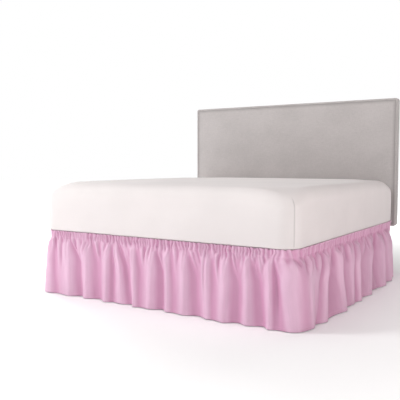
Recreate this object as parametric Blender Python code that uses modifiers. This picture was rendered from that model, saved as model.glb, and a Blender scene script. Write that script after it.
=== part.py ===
"""Gathered bed skirt on a king-size bed: mattress, box spring, headboard and steel frame.

Metres, +Z up. The origin is on the floor, under the middle of the bed. The foot of the bed faces -Y
and the headboard stands at +Y. Every piece is one closed solid.
"""
import math

import bmesh
import bpy

# ---------------------------------------------------------------- driving dimensions, in metres
BOX_HALF_WIDTH = 0.965          # king box spring, 1.93 wide
BOX_HALF_LENGTH = 1.015         # 2.03 long
BOX_CORNER = 0.080              # radius of its upright corners
BOX_BOTTOM = 0.218
BOX_TOP = 0.453

MATTRESS_OVERHANG = 0.020       # the mattress stands proud of the box spring
MATTRESS_TOP = 0.795
MATTRESS_CORNER = 0.095
MATTRESS_TOP_ROUND = 0.050
MATTRESS_BOTTOM_ROUND = 0.018

SKIRT_TOP = 0.4507              # just under the mattress
SKIRT_HEM = 0.004               # clear of the floor
SKIRT_THICK = 0.002
HEADER_OUT = 0.010              # the elastic header hugs the box spring
HEADER_SHARE = 0.10             # share of the drop that the header takes
HEADER_GATHER = 0.0020          # in and out of its gathers
PLEAT_GATHER = 0.0040           # in and out of the pleats just below it
SCALLOP = 0.0020                # rise and fall of the header's top edge
SKIRT_RETURN = 0.050            # how far each end reaches past the head corner
COLUMN_PITCH = 0.0185           # about how far apart the cloth's upright lines are
ROW_SHARES = (0.0, HEADER_SHARE, 0.17, 0.29, 0.45, 0.66, 0.85, 1.0)

HEADBOARD_FRONT = 1.042
HEADBOARD_THICK = 0.068
HEADBOARD_HALF_WIDTH = 1.000
HEADBOARD_BOTTOM = 0.400
HEADBOARD_TOP = 1.479
HEADBOARD_CORNER = 0.022
HEADBOARD_ROUND = 0.012
HEADBOARD_LEG_X = 0.700
HEADBOARD_LEG_WIDTH = 0.070

RAIL_WIDTH = 0.030
RAIL_HEIGHT = 0.040
RAIL_X = 0.900                  # middle of each side rail
END_RAIL_Y = 0.955              # middle of the head and foot rails
RAIL_ROUND = 0.002
LEG_RADIUS = 0.016
GLIDE_RADIUS = 0.024
GLIDE_HEIGHT = 0.012
SIDE_LEG_PLACES = (-0.900, 0.0, 0.900)
CENTRE_LEG_PLACES = (-0.450, 0.450)

GAP = 0.0003                    # between pieces that touch

# ---------------------------------------------------------------- the skirt's folds
# One row for each fold, from the head on the bed's left, round the foot, to the head on its right.
# Places run along the box spring's outline from the middle of the foot. A reach is how far the hem
# stands out from the box spring there, and a lean is how far along the fold's top lies from its hem.
#    crest place, crest reach, crest lean, valley place, valley reach, valley lean
FOLDS = (
    (-2.980, 0.016, 0.000, -2.890, 0.018, 0.000),
    (-2.790, 0.085, 0.020, -2.700, 0.050, 0.010),
    (-2.620, 0.115, 0.000, -2.530, 0.070, 0.000),
    (-2.450, 0.118, -0.020, -2.360, 0.075, 0.000),
    (-2.270, 0.105, 0.010, -2.190, 0.062, 0.010),
    (-2.110, 0.122, 0.020, -2.020, 0.070, 0.000),
    (-1.930, 0.112, 0.000, -1.860, 0.066, -0.010),
    (-1.770, 0.120, -0.020, -1.670, 0.066, 0.000),
    (-1.580, 0.104, 0.000, -1.500, 0.058, 0.010),
    (-1.420, 0.112, 0.020, -1.330, 0.058, 0.000),
    (-1.250, 0.095, 0.000, -1.170, 0.050, 0.000),
    (-1.080, 0.080, -0.010, -1.010, 0.050, 0.000),
    (-0.920, 0.066, 0.020, -0.835, 0.040, 0.000),       # foot of the bed, left to right
    (-0.695, 0.064, -0.015, -0.605, 0.012, -0.020),
    (-0.545, 0.062, -0.005, -0.440, 0.014, 0.010),
    (-0.353, 0.066, 0.005, -0.298, 0.028, 0.000),
    (-0.232, 0.048, -0.055, -0.160, 0.014, -0.050),
    (-0.110, 0.066, -0.012, -0.070, 0.046, 0.000),
    (0.024, 0.060, 0.020, 0.108, 0.010, 0.000),
    (0.144, 0.060, -0.010, 0.187, 0.044, 0.000),
    (0.280, 0.066, 0.002, 0.370, 0.020, -0.020),
    (0.470, 0.066, -0.015, 0.502, 0.048, -0.010),
    (0.580, 0.080, 0.012, 0.655, 0.026, -0.030),
    (0.728, 0.064, -0.005, 0.812, 0.016, -0.050),
    (0.866, 0.066, -0.010, 0.925, 0.040, -0.010),
    (0.980, 0.086, 0.000, 1.002, 0.082, 0.000),
    (1.026, 0.090, 0.010, 1.090, 0.062, 0.020),         # right side, foot to head
    (1.206, 0.110, 0.050, 1.265, 0.090, 0.055),
    (1.508, 0.122, 0.070, 1.600, 0.080, 0.070),
    (1.695, 0.100, 0.080, 1.735, 0.092, 0.085),
    (1.822, 0.118, 0.090, 1.905, 0.080, 0.080),
    (2.063, 0.116, 0.080, 2.170, 0.076, 0.070),
    (2.290, 0.105, 0.060, 2.350, 0.080, 0.050),
    (2.450, 0.114, 0.050, 2.550, 0.070, 0.030),
    (2.650, 0.105, 0.030, 2.740, 0.060, 0.010),
    (2.810, 0.075, 0.000, 2.900, 0.018, 0.000),
)
END_REACH = 0.016               # the plain ends past the head corners

# ---------------------------------------------------------------- colours: red, green, blue
SKIRT_PINK = (0.76, 0.42, 0.62)
SHEET_WHITE = (0.88, 0.86, 0.85)
TICKING_WHITE = (0.80, 0.79, 0.76)
UPHOLSTERY_GREY = (0.58, 0.55, 0.55)
WOOD_BROWN = (0.36, 0.24, 0.15)
STEEL_BLACK = (0.05, 0.05, 0.055)
GLIDE_BLACK = (0.03, 0.03, 0.03)


# ---------------------------------------------------------------- helpers
def clear_scene():
    for thing in list(bpy.data.objects):
        bpy.data.objects.remove(thing, do_unlink=True)


def make_collection(name):
    collection = bpy.data.collections.new(name)
    bpy.context.scene.collection.children.link(collection)
    return collection


def make_material(name, colour, roughness, metallic=0.0):
    material = bpy.data.materials.new(name)
    material.use_nodes = True
    shader = material.node_tree.nodes["Principled BSDF"]
    shader.inputs["Base Color"].default_value = (*colour, 1.0)
    shader.inputs["Roughness"].default_value = roughness
    shader.inputs["Metallic"].default_value = metallic
    return material


def finish_object(name, mesh, material, collection, centre=(0.0, 0.0, 0.0)):
    mesh.materials.append(material)
    thing = bpy.data.objects.new(name, mesh)
    thing.location = centre
    collection.objects.link(thing)
    return thing


def round_edges(bm, edges, radius, segments):
    bmesh.ops.bevel(bm, geom=edges, offset=radius, offset_type="OFFSET", segments=segments,
                    profile=0.5, affect="EDGES", clamp_overlap=True)


def box_mesh(name, size):
    """A plain box about its own middle, as a bmesh still open to edits."""
    bm = bmesh.new()
    bmesh.ops.create_cube(bm, size=1.0)
    bmesh.ops.scale(bm, vec=size, verts=bm.verts)
    return bm, bpy.data.meshes.new(name)


def close_mesh(bm, mesh, smooth_angle=None):
    bmesh.ops.recalc_face_normals(bm, faces=bm.faces)
    bm.to_mesh(mesh)
    bm.free()
    if smooth_angle is not None:
        mesh.shade_smooth()
        mesh.set_sharp_from_angle(angle=math.radians(smooth_angle))
    return mesh


def edges_along(bm, axis):
    """The box's edges that run along one axis (0, 1 or 2)."""
    found = []
    for edge in bm.edges:
        run = edge.verts[0].co - edge.verts[1].co
        others = [abs(run[k]) for k in range(3) if k != axis]
        if abs(run[axis]) > 1e-4 and max(others) < 1e-6:
            found.append(edge)
    return found


def rim_edges(bm, axis, level):
    """The outline edges of the flat face at one level along an axis."""
    found = []
    for edge in bm.edges:
        on_level = all(abs(vert.co[axis] - level) < 1e-5 for vert in edge.verts)
        facing = [abs(face.normal[axis]) > 0.99 for face in edge.link_faces]
        if on_level and facing.count(True) == 1:
            found.append(edge)
    return found


def rounded_slab(name, size, axis, corner, corner_steps, rims):
    """A slab with corners rounded about one axis, then each rim rounded by its own radius.

    rims holds, for each of the two faces across the axis, its side (-1 or 1), radius and steps.
    """
    bm, mesh = box_mesh(name, size)
    round_edges(bm, edges_along(bm, axis), corner, corner_steps)
    bm.normal_update()
    for side, radius, steps in rims:
        round_edges(bm, rim_edges(bm, axis, side * size[axis] / 2), radius, steps)
        bm.normal_update()
    return close_mesh(bm, mesh, smooth_angle=35)


# ---------------------------------------------------------------- the bed
def make_mattress(material, collection):
    width = 2 * (BOX_HALF_WIDTH + MATTRESS_OVERHANG)
    length = 2 * (BOX_HALF_LENGTH + MATTRESS_OVERHANG)
    bottom = BOX_TOP + GAP
    height = MATTRESS_TOP - bottom
    rims = ((1, MATTRESS_TOP_ROUND, 5), (-1, MATTRESS_BOTTOM_ROUND, 3))
    mesh = rounded_slab("mattress", (width, length, height), 2, MATTRESS_CORNER, 8, rims)
    return finish_object("mattress", mesh, material, collection, (0, 0, bottom + height / 2))


def make_box_spring(material, collection):
    height = BOX_TOP - BOX_BOTTOM
    size = (2 * BOX_HALF_WIDTH, 2 * BOX_HALF_LENGTH, height)
    rims = ((1, 0.010, 2), (-1, 0.010, 2))
    mesh = rounded_slab("box_spring", size, 2, BOX_CORNER, 8, rims)
    return finish_object("box_spring", mesh, material, collection, (0, 0, BOX_BOTTOM + height / 2))


def make_headboard(padding, wood, collection):
    height = HEADBOARD_TOP - HEADBOARD_BOTTOM
    size = (2 * HEADBOARD_HALF_WIDTH, HEADBOARD_THICK, height)
    middle_y = HEADBOARD_FRONT + HEADBOARD_THICK / 2
    rims = ((-1, HEADBOARD_ROUND, 3), (1, HEADBOARD_ROUND / 2, 2))
    mesh = rounded_slab("headboard", size, 1, HEADBOARD_CORNER, 5, rims)
    finish_object("headboard", mesh, padding, collection, (0, middle_y, HEADBOARD_BOTTOM + height / 2))

    leg_height = HEADBOARD_BOTTOM - GAP
    for side, label in ((-1, "left"), (1, "right")):
        size = (HEADBOARD_LEG_WIDTH, HEADBOARD_THICK - 2 * HEADBOARD_ROUND, leg_height)
        bm, mesh = box_mesh(f"headboard_leg_{label}", size)
        round_edges(bm, edges_along(bm, 2), 0.004, 2)
        close_mesh(bm, mesh, smooth_angle=35)
        place = (side * HEADBOARD_LEG_X, middle_y, leg_height / 2)
        finish_object(mesh.name, mesh, wood, collection, place)


def make_rail(name, length, axis, place, material, collection):
    size = [RAIL_WIDTH, RAIL_WIDTH, RAIL_HEIGHT]
    size[axis] = length
    bm, mesh = box_mesh(name, size)
    round_edges(bm, edges_along(bm, axis), RAIL_ROUND, 2)
    close_mesh(bm, mesh, smooth_angle=35)
    return finish_object(name, mesh, material, collection, place)


def make_frame_rails(material, collection):
    """Side rails, head and foot rails butted between them, and a centre rail between those."""
    level = BOX_BOTTOM - GAP - RAIL_HEIGHT / 2
    for side, label in ((-1, "left"), (1, "right")):
        length = 2 * END_RAIL_Y + RAIL_WIDTH
        make_rail(f"rail_{label}", length, 1, (side * RAIL_X, 0, level), material, collection)
    inner = 2 * (RAIL_X - RAIL_WIDTH / 2 - GAP)
    for side, label in ((-1, "foot"), (1, "head")):
        make_rail(f"rail_{label}", inner, 0, (0, side * END_RAIL_Y, level), material, collection)
    centre = 2 * (END_RAIL_Y - RAIL_WIDTH / 2 - GAP)
    make_rail("rail_centre", centre, 1, (0, 0, level), material, collection)

    # stubs that carry the headboard's legs
    start = END_RAIL_Y + RAIL_WIDTH / 2 + GAP
    end = HEADBOARD_FRONT + HEADBOARD_ROUND - GAP
    for side, label in ((-1, "left"), (1, "right")):
        place = (side * HEADBOARD_LEG_X, (start + end) / 2, level)
        make_rail(f"headboard_bracket_{label}", end - start, 1, place, material, collection)


def make_cylinder(name, radius, bottom, top, centre, material, collection):
    bm = bmesh.new()
    bmesh.ops.create_cone(bm, cap_ends=True, segments=24, radius1=radius, radius2=radius,
                          depth=top - bottom)
    mesh = close_mesh(bm, bpy.data.meshes.new(name), smooth_angle=35)
    return finish_object(name, mesh, material, collection, (*centre, (top + bottom) / 2))


def make_frame_legs(metal, plastic, collection):
    top = BOX_BOTTOM - RAIL_HEIGHT - 2 * GAP
    spots = [(side * RAIL_X, y) for side in (-1, 1) for y in SIDE_LEG_PLACES]
    spots += [(0.0, y) for y in CENTRE_LEG_PLACES]
    for number, spot in enumerate(spots, start=1):
        make_cylinder(f"leg_{number}", LEG_RADIUS, GLIDE_HEIGHT + GAP, top, spot, metal, collection)
        make_cylinder(f"glide_{number}", GLIDE_RADIUS, 0.0, GLIDE_HEIGHT, spot, plastic, collection)


# ---------------------------------------------------------------- the skirt
FOOT_END = BOX_HALF_WIDTH - BOX_CORNER
CORNER_RUN = math.pi / 2 * BOX_CORNER
SIDE_START = FOOT_END + CORNER_RUN
SIDE_END = SIDE_START + 2 * (BOX_HALF_LENGTH - BOX_CORNER)
RETURN_START = SIDE_END + CORNER_RUN
SKIRT_END = RETURN_START + SKIRT_RETURN


def outline_at(place):
    """The box spring's outline at a place along it, and the direction that faces away there."""
    side = -1.0 if place < 0 else 1.0
    run = abs(place)
    straight_y = BOX_HALF_LENGTH - BOX_CORNER
    if run < FOOT_END:
        x, y, turn = run, -BOX_HALF_LENGTH, 0.0
    elif run < SIDE_START:
        turn = (run - FOOT_END) / BOX_CORNER
        x = FOOT_END + BOX_CORNER * math.sin(turn)
        y = -straight_y - BOX_CORNER * math.cos(turn)
    elif run < SIDE_END:
        x, y, turn = BOX_HALF_WIDTH, -straight_y + run - SIDE_START, math.pi / 2
    elif run < RETURN_START:
        turn = math.pi / 2 + (run - SIDE_END) / BOX_CORNER
        x = FOOT_END + BOX_CORNER * math.sin(turn)
        y = straight_y - BOX_CORNER * math.cos(turn)
    else:
        x, y, turn = FOOT_END - (run - RETURN_START), BOX_HALF_LENGTH, math.pi
    return side * x, y, side * math.sin(turn), -math.cos(turn)


def fold_lines():
    """Every crest and valley in turn: place, reach, lean, whether it is a crest, mean reach there."""
    lines = [(-SKIRT_END, END_REACH, 0.0, False)]
    for crest, crest_reach, crest_lean, valley, valley_reach, valley_lean in FOLDS:
        lines.append((crest, crest_reach, crest_lean, True))
        lines.append((valley, valley_reach, valley_lean, False))
    lines.append((2.990, END_REACH, 0.0, True))
    lines.append((SKIRT_END, END_REACH, 0.0, False))
    out = []
    for k, (place, reach, lean, is_crest) in enumerate(lines):
        before = lines[max(k - 1, 0)][1]
        after = lines[min(k + 1, len(lines) - 1)][1]
        out.append((place, reach, lean, is_crest, (before + 2 * reach + after) / 4))
    return out


def smooth(t):
    t = min(max(t, 0.0), 1.0)
    return t * t * (3 - 2 * t)


def cloth_reach(left, right, t, share):
    """How far the cloth stands out, at t between two fold lines and at a share of the drop."""
    rising = right[3]
    climb = t if rising else 1 - t
    low, high = sorted((left[1], right[1]))
    if rising:
        form = 0.55 * smooth(climb) + 0.45 * (1 - (1 - climb) ** 2)
    else:
        form = 0.4 * smooth(climb) + 0.6 * climb ** 1.5
    full = low + (high - low) * form
    mean = left[4] + (right[4] - left[4]) * t
    flare = 1 - (1 - share) ** 1.6
    depth = smooth((share - 0.05) / 0.30) * (0.45 + 0.55 * share)
    return HEADER_OUT + (mean - HEADER_OUT) * flare + (full - mean) * depth


def gather_at(share):
    """How deep the narrow gathers are at a share of the drop."""
    if share <= HEADER_SHARE:
        return HEADER_GATHER
    return PLEAT_GATHER * (1 - smooth((share - 0.17) / 0.25))


def skirt_columns():
    """The cloth's upright lines: the two fold lines that each lies between, and how far along."""
    lines = fold_lines()
    columns = []
    for left, right in zip(lines, lines[1:]):
        steps = max(2, round((right[0] - left[0]) / COLUMN_PITCH))
        columns += [(left, right, k / steps) for k in range(steps)]
    columns.append((lines[-2], lines[-1], 1.0))
    return columns


def make_skirt(material, collection):
    columns = skirt_columns()
    drop = SKIRT_TOP - SKIRT_HEM
    points = []
    for number, (left, right, t) in enumerate(columns):
        swing = 1 if number % 2 else -1
        for share in ROW_SHARES:
            hang = 1 - share
            start = left[0] + left[2] * hang
            end = right[0] + right[2] * hang
            place = start + (end - start) * t
            out = cloth_reach(left, right, t, share) + swing * gather_at(share)
            x, y, away_x, away_y = outline_at(place)
            z = SKIRT_TOP - drop * share
            if share == 0.0 and swing < 0:
                z -= SCALLOP
            points.append((x + away_x * out, y + away_y * out, z))
    rows = len(ROW_SHARES)
    faces = []
    for c in range(len(columns) - 1):
        for r in range(rows - 1):
            a = c * rows + r
            faces.append((a, a + 1, a + rows + 1, a + rows))
    mesh = bpy.data.meshes.new("bed_skirt")
    mesh.from_pydata(points, [], faces)
    mesh.shade_smooth()
    skirt = finish_object("bed_skirt", mesh, material, collection)
    cloth = skirt.modifiers.new("cloth thickness", "SOLIDIFY")
    cloth.thickness = SKIRT_THICK
    cloth.offset = 0.0
    cloth.use_even_offset = True
    return skirt


def main():
    clear_scene()
    collection = make_collection("bed skirt with bed")
    skirt = make_material("pink microfibre", SKIRT_PINK, 0.75)
    sheet = make_material("white sheet", SHEET_WHITE, 0.85)
    ticking = make_material("white ticking", TICKING_WHITE, 0.9)
    upholstery = make_material("grey upholstery", UPHOLSTERY_GREY, 0.9)
    wood = make_material("brown wood", WOOD_BROWN, 0.6)
    steel = make_material("black painted steel", STEEL_BLACK, 0.45)
    plastic = make_material("black plastic", GLIDE_BLACK, 0.5)

    make_skirt(skirt, collection)
    make_mattress(sheet, collection)
    make_box_spring(ticking, collection)
    make_headboard(upholstery, wood, collection)
    make_frame_rails(steel, collection)
    make_frame_legs(steel, plastic, collection)


main()
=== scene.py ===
"""Dresses a king-size bed: gathered skirt, fitted sheet, box spring, padded headboard and steel frame.

Metres, +Z up. The origin is on the floor, under the middle of the bed. The foot of the bed faces -Y
and the headboard stands at +Y. The skirt hangs on the left side, the foot and the right side.
"""

import math

import bmesh
import bpy
import numpy as np
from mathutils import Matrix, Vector


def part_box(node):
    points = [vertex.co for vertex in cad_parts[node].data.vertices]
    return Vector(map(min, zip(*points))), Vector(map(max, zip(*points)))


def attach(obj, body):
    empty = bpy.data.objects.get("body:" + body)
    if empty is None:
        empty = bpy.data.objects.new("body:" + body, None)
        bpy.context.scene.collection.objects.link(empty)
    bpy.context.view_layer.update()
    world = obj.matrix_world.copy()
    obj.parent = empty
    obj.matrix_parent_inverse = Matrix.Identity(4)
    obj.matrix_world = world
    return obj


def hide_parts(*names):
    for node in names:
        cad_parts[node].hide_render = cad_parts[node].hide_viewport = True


bl_info = {
    "name": "Gathered Bed Skirt",
    "version": (1, 0, 0),
    "blender": (4, 5, 0),
    "location": "3D View > Sidebar > Bed Skirt",
    "description": "Builds a gathered bed skirt on its bed, with cloth, padding and frame finishes",
    "category": "Object",
}

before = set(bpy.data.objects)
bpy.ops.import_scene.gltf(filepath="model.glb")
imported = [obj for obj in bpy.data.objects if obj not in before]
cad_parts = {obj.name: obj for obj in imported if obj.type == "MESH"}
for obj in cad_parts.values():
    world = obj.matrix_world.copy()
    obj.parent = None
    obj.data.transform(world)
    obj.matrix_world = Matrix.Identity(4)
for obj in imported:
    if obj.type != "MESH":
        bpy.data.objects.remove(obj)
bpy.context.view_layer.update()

# ---------------------------------------------------------------- sizes shared by the pieces, in metres
BOX_HALF_WIDTH = 0.965
BOX_HALF_LENGTH = 1.015
BOX_CORNER = 0.080
SKIRT_TOP = 0.4507
SKIRT_HEM = 0.004
SKIRT_DROP = SKIRT_TOP - SKIRT_HEM
HEADER_OUT = 0.012              # the elastic header hugs the box spring
HEADER_SHARE = 0.10             # share of the drop that the header takes
MIDDLE_SHARE = 0.45             # share of the drop at which a fold's middle is given
FOLD_OPENING = 1.9              # how quickly the folds open under the header
LEAST_REACH = 0.004             # the cloth stays this far off the box spring
SKIRT_RETURN = 0.050            # how far each end reaches past the head corner
HEM_DEPTH = 0.016               # from the hem's stitching to its edge
HEM_LINE = 1 - HEM_DEPTH / SKIRT_DROP
SEAM_TURN = 0.015               # the sheet's corner seams sit this far round towards the sides

FOOT_END = BOX_HALF_WIDTH - BOX_CORNER
CORNER_RUN = math.pi / 2 * BOX_CORNER
SIDE_START = FOOT_END + CORNER_RUN
CORNER_MIDDLE = FOOT_END + CORNER_RUN / 2
SIDE_END = SIDE_START + 2 * (BOX_HALF_LENGTH - BOX_CORNER)
RETURN_START = SIDE_END + CORNER_RUN
SKIRT_END = RETURN_START + SKIRT_RETURN

# ---------------------------------------------------------------- the skirt's folds
# One row for each fold, from the head on the bed's left, round the foot, to the head on its right.
# Places run along the box spring's outline from the middle of the foot. Each crest and each valley is
# a line down the cloth: its places under the header, at middle height and at the hem, and how far it
# stands out from the box spring at middle height and at the hem. Its power shapes the flank on its
# left: below 1 it climbs at once and then runs flat to the crest, above 1 it climbs close to the crest.
#    crest: header, middle, hem, reach, hem reach, power, valley: the same
FOLDS = (
    (-2.985, -2.985, -2.980, 0.014, 0.016, 1.0, -2.900, -2.895, -2.890, 0.014, 0.018, 1.0),
    (-2.760, -2.780, -2.790, 0.066, 0.085, 1.3, -2.700, -2.690, -2.700, 0.032, 0.050, 1.2),
    (-2.640, -2.615, -2.620, 0.092, 0.115, 0.8, -2.560, -2.535, -2.530, 0.044, 0.070, 1.5),
    (-2.500, -2.465, -2.450, 0.096, 0.118, 1.4, -2.390, -2.370, -2.360, 0.050, 0.075, 1.2),
    (-2.250, -2.275, -2.270, 0.084, 0.105, 1.0, -2.210, -2.200, -2.190, 0.044, 0.062, 1.4),
    (-2.120, -2.100, -2.110, 0.098, 0.122, 0.7, -2.060, -2.020, -2.020, 0.042, 0.070, 1.3),
    (-1.950, -1.935, -1.930, 0.092, 0.112, 1.4, -1.880, -1.870, -1.860, 0.040, 0.066, 1.0),
    (-1.800, -1.780, -1.770, 0.098, 0.120, 0.8, -1.700, -1.675, -1.670, 0.044, 0.066, 1.5),
    (-1.550, -1.575, -1.580, 0.084, 0.104, 1.2, -1.510, -1.505, -1.500, 0.036, 0.058, 1.1),
    (-1.430, -1.415, -1.420, 0.092, 0.112, 0.9, -1.360, -1.335, -1.330, 0.038, 0.058, 1.4),
    (-1.230, -1.250, -1.250, 0.066, 0.095, 1.2, -1.200, -1.180, -1.170, 0.030, 0.050, 1.2),
    (-1.110, -1.090, -1.080, 0.048, 0.074, 0.9, -1.050, -1.020, -1.010, 0.030, 0.050, 1.3),
    (-0.945, -0.925, -0.905, 0.042, 0.064, 1.0, -0.895, -0.868, -0.832, 0.020, 0.040, 1.2),
    (-0.735, -0.707, -0.697, 0.052, 0.064, 0.8, -0.722, -0.618, -0.606, 0.008, 0.012, 1.5),
    (-0.542, -0.548, -0.542, 0.052, 0.062, 0.5, -0.512, -0.468, -0.450, 0.009, 0.014, 1.7),
    (-0.350, -0.357, -0.358, 0.054, 0.066, 1.3, -0.330, -0.316, -0.312, 0.018, 0.028, 1.5),
    (-0.300, -0.245, -0.226, 0.050, 0.048, 0.6, -0.280, -0.206, -0.166, 0.008, 0.014, 1.5),
    (-0.150, -0.124, -0.118, 0.056, 0.066, 1.2, -0.124, -0.084, -0.078, 0.026, 0.048, 1.6),
    (0.022, 0.020, 0.012, 0.054, 0.061, 1.0, 0.040, 0.092, 0.098, 0.007, 0.010, 1.6),
    (0.132, 0.138, 0.144, 0.050, 0.060, 0.5, 0.152, 0.176, 0.188, 0.027, 0.046, 1.5),
    (0.264, 0.273, 0.273, 0.054, 0.066, 1.1, 0.286, 0.338, 0.360, 0.012, 0.020, 1.6),
    (0.440, 0.436, 0.448, 0.054, 0.066, 1.1, 0.456, 0.476, 0.484, 0.032, 0.050, 1.5),
    (0.562, 0.558, 0.562, 0.062, 0.080, 1.1, 0.584, 0.634, 0.645, 0.016, 0.026, 1.6),
    (0.700, 0.708, 0.710, 0.054, 0.064, 1.1, 0.716, 0.768, 0.795, 0.010, 0.016, 1.6),
    (0.845, 0.849, 0.854, 0.056, 0.070, 1.2, 0.862, 0.884, 0.900, 0.012, 0.036, 1.6),
    (0.940, 0.926, 0.946, 0.074, 0.086, 0.8, 0.996, 0.990, 0.990, 0.066, 0.080, 1.0),
    (1.060, 1.040, 1.026, 0.070, 0.090, 1.0, 1.300, 1.220, 1.110, 0.054, 0.070, 0.6),
    (1.370, 1.290, 1.200, 0.080, 0.108, 1.8, 1.480, 1.410, 1.290, 0.026, 0.084, 1.5),
    (1.588, 1.552, 1.512, 0.082, 0.122, 2.4, 1.730, 1.640, 1.596, 0.030, 0.082, 1.3),
    (1.875, 1.776, 1.712, 0.080, 0.104, 2.0, 1.926, 1.830, 1.762, 0.044, 0.090, 1.2),
    (1.998, 1.892, 1.838, 0.090, 0.118, 1.8, 2.084, 1.956, 1.880, 0.028, 0.078, 1.4),
    (2.290, 2.178, 2.060, 0.086, 0.116, 1.6, 2.430, 2.290, 2.184, 0.024, 0.074, 1.4),
    (2.560, 2.475, 2.440, 0.098, 0.120, 1.8, 2.610, 2.550, 2.540, 0.046, 0.070, 1.3),
    (2.680, 2.660, 2.650, 0.086, 0.105, 1.0, 2.755, 2.745, 2.740, 0.040, 0.060, 1.2),
    (2.810, 2.810, 2.810, 0.060, 0.075, 1.0, 2.900, 2.900, 2.900, 0.014, 0.018, 1.0),
)
LAST_CREST = 2.990              # the plain end past the last row starts here
END_REACH = 0.016               # and stands out this far

# Narrow pleats under the header: a ridge has a height above 0, a groove one below 0.
#    place and share at the top, place and share where it ends, half width, height
PLEATS = (
    (-0.882, 0.11, -0.892, 0.47, 0.015, 0.012),
    (-0.858, 0.11, -0.850, 0.44, 0.010, -0.009),
    (-0.822, 0.11, -0.812, 0.74, 0.014, 0.009),
    (-0.797, 0.11, -0.782, 0.66, 0.010, -0.010),
    (-0.758, 0.11, -0.738, 0.52, 0.012, 0.007),
    (-0.702, 0.11, -0.604, 0.46, 0.010, 0.012),
    (-0.676, 0.12, -0.630, 0.40, 0.009, -0.010),
    (-0.648, 0.11, -0.622, 0.44, 0.012, 0.008),
    (-0.613, 0.10, -0.610, 0.27, 0.008, -0.012),
    (-0.592, 0.11, -0.588, 0.50, 0.010, 0.008),
    (-0.565, 0.12, -0.588, 0.36, 0.008, -0.011),
    (-0.549, 0.11, -0.575, 0.48, 0.009, 0.010),
    (-0.478, 0.11, -0.440, 0.46, 0.011, 0.012),
    (-0.447, 0.13, -0.418, 0.42, 0.010, -0.010),
    (-0.410, 0.11, -0.395, 0.50, 0.010, 0.007),
    (-0.382, 0.11, -0.394, 0.27, 0.008, -0.011),
    (-0.352, 0.10, -0.378, 0.38, 0.010, 0.009),
    (-0.311, 0.10, -0.272, 0.62, 0.009, 0.009),
    (-0.255, 0.12, -0.225, 0.30, 0.010, -0.006),
    (-0.232, 0.11, -0.162, 0.60, 0.016, 0.008),
    (-0.184, 0.10, -0.165, 0.42, 0.009, -0.010),
    (-0.154, 0.10, -0.143, 0.66, 0.008, 0.008),
    (-0.078, 0.10, -0.052, 0.46, 0.012, 0.007),
    (-0.052, 0.10, -0.044, 0.37, 0.009, -0.012),
    (-0.029, 0.10, -0.024, 0.44, 0.009, 0.006),
    (-0.014, 0.10, -0.012, 0.30, 0.008, -0.011),
    (0.010, 0.10, 0.000, 0.50, 0.009, 0.007),
    (0.050, 0.10, 0.104, 0.47, 0.010, 0.012),
    (0.076, 0.11, 0.092, 0.32, 0.008, -0.010),
    (0.134, 0.10, 0.114, 0.40, 0.009, 0.010),
    (0.184, 0.11, 0.210, 0.60, 0.014, 0.007),
    (0.212, 0.10, 0.216, 0.34, 0.009, -0.011),
    (0.248, 0.10, 0.256, 0.50, 0.010, 0.007),
    (0.304, 0.10, 0.356, 0.46, 0.013, 0.011),
    (0.322, 0.10, 0.326, 0.24, 0.008, -0.009),
    (0.366, 0.13, 0.384, 0.36, 0.012, -0.008),
    (0.396, 0.11, 0.404, 0.80, 0.008, 0.006),
    (0.410, 0.11, 0.416, 0.84, 0.006, -0.006),
    (0.430, 0.11, 0.432, 0.50, 0.009, 0.007),
    (0.488, 0.11, 0.516, 0.60, 0.012, 0.008),
    (0.505, 0.10, 0.514, 0.40, 0.009, -0.012),
    (0.540, 0.11, 0.548, 0.50, 0.010, 0.007),
    (0.592, 0.10, 0.638, 0.46, 0.011, 0.011),
    (0.645, 0.12, 0.640, 0.34, 0.010, -0.009),
    (0.675, 0.18, 0.652, 0.46, 0.009, -0.006),
    (0.690, 0.10, 0.696, 0.48, 0.010, 0.008),
    (0.726, 0.10, 0.772, 0.42, 0.010, 0.010),
    (0.740, 0.16, 0.746, 0.30, 0.008, -0.010),
    (0.770, 0.11, 0.796, 0.48, 0.012, 0.006),
    (0.808, 0.12, 0.786, 0.40, 0.010, -0.009),
    (0.834, 0.10, 0.842, 0.50, 0.010, 0.008),
    (0.872, 0.10, 0.905, 0.40, 0.011, 0.009),
    (0.925, 0.10, 0.945, 0.30, 0.010, -0.006),
    (0.960, 0.10, 0.962, 0.32, 0.010, 0.006),
    (1.072, 0.10, 1.020, 0.34, 0.013, -0.011),
    (1.112, 0.10, 1.046, 0.38, 0.014, 0.013),
    (1.164, 0.10, 1.110, 0.30, 0.012, -0.008),
    (1.216, 0.10, 1.160, 0.34, 0.013, -0.012),
    (1.252, 0.10, 1.192, 0.40, 0.016, 0.011),
    (1.338, 0.09, 1.185, 0.64, 0.024, -0.016),
    (1.385, 0.10, 1.340, 0.40, 0.014, 0.008),
    (1.480, 0.10, 1.440, 0.36, 0.014, 0.008),
    (1.530, 0.09, 1.495, 0.44, 0.022, -0.014),
    (1.585, 0.10, 1.565, 0.38, 0.018, 0.010),
    (1.640, 0.10, 1.610, 0.28, 0.013, -0.010),
    (1.682, 0.10, 1.640, 0.30, 0.015, 0.011),
    (1.776, 0.09, 1.735, 0.42, 0.018, -0.014),
    (1.820, 0.10, 1.780, 0.30, 0.012, 0.008),
    (1.926, 0.10, 1.880, 0.34, 0.014, -0.012),
    (2.076, 0.09, 2.010, 0.40, 0.018, -0.014),
    (2.148, 0.10, 2.062, 0.42, 0.020, 0.012),
    (2.218, 0.11, 2.182, 0.34, 0.013, -0.010),
    (2.345, 0.10, 2.290, 0.32, 0.014, 0.009),
    (2.446, 0.09, 2.375, 0.44, 0.022, -0.014),
    (2.512, 0.10, 2.470, 0.42, 0.018, 0.010),
    (2.640, 0.10, 2.600, 0.40, 0.018, -0.012),
    (2.720, 0.10, 2.690, 0.36, 0.016, 0.010),
)
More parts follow.
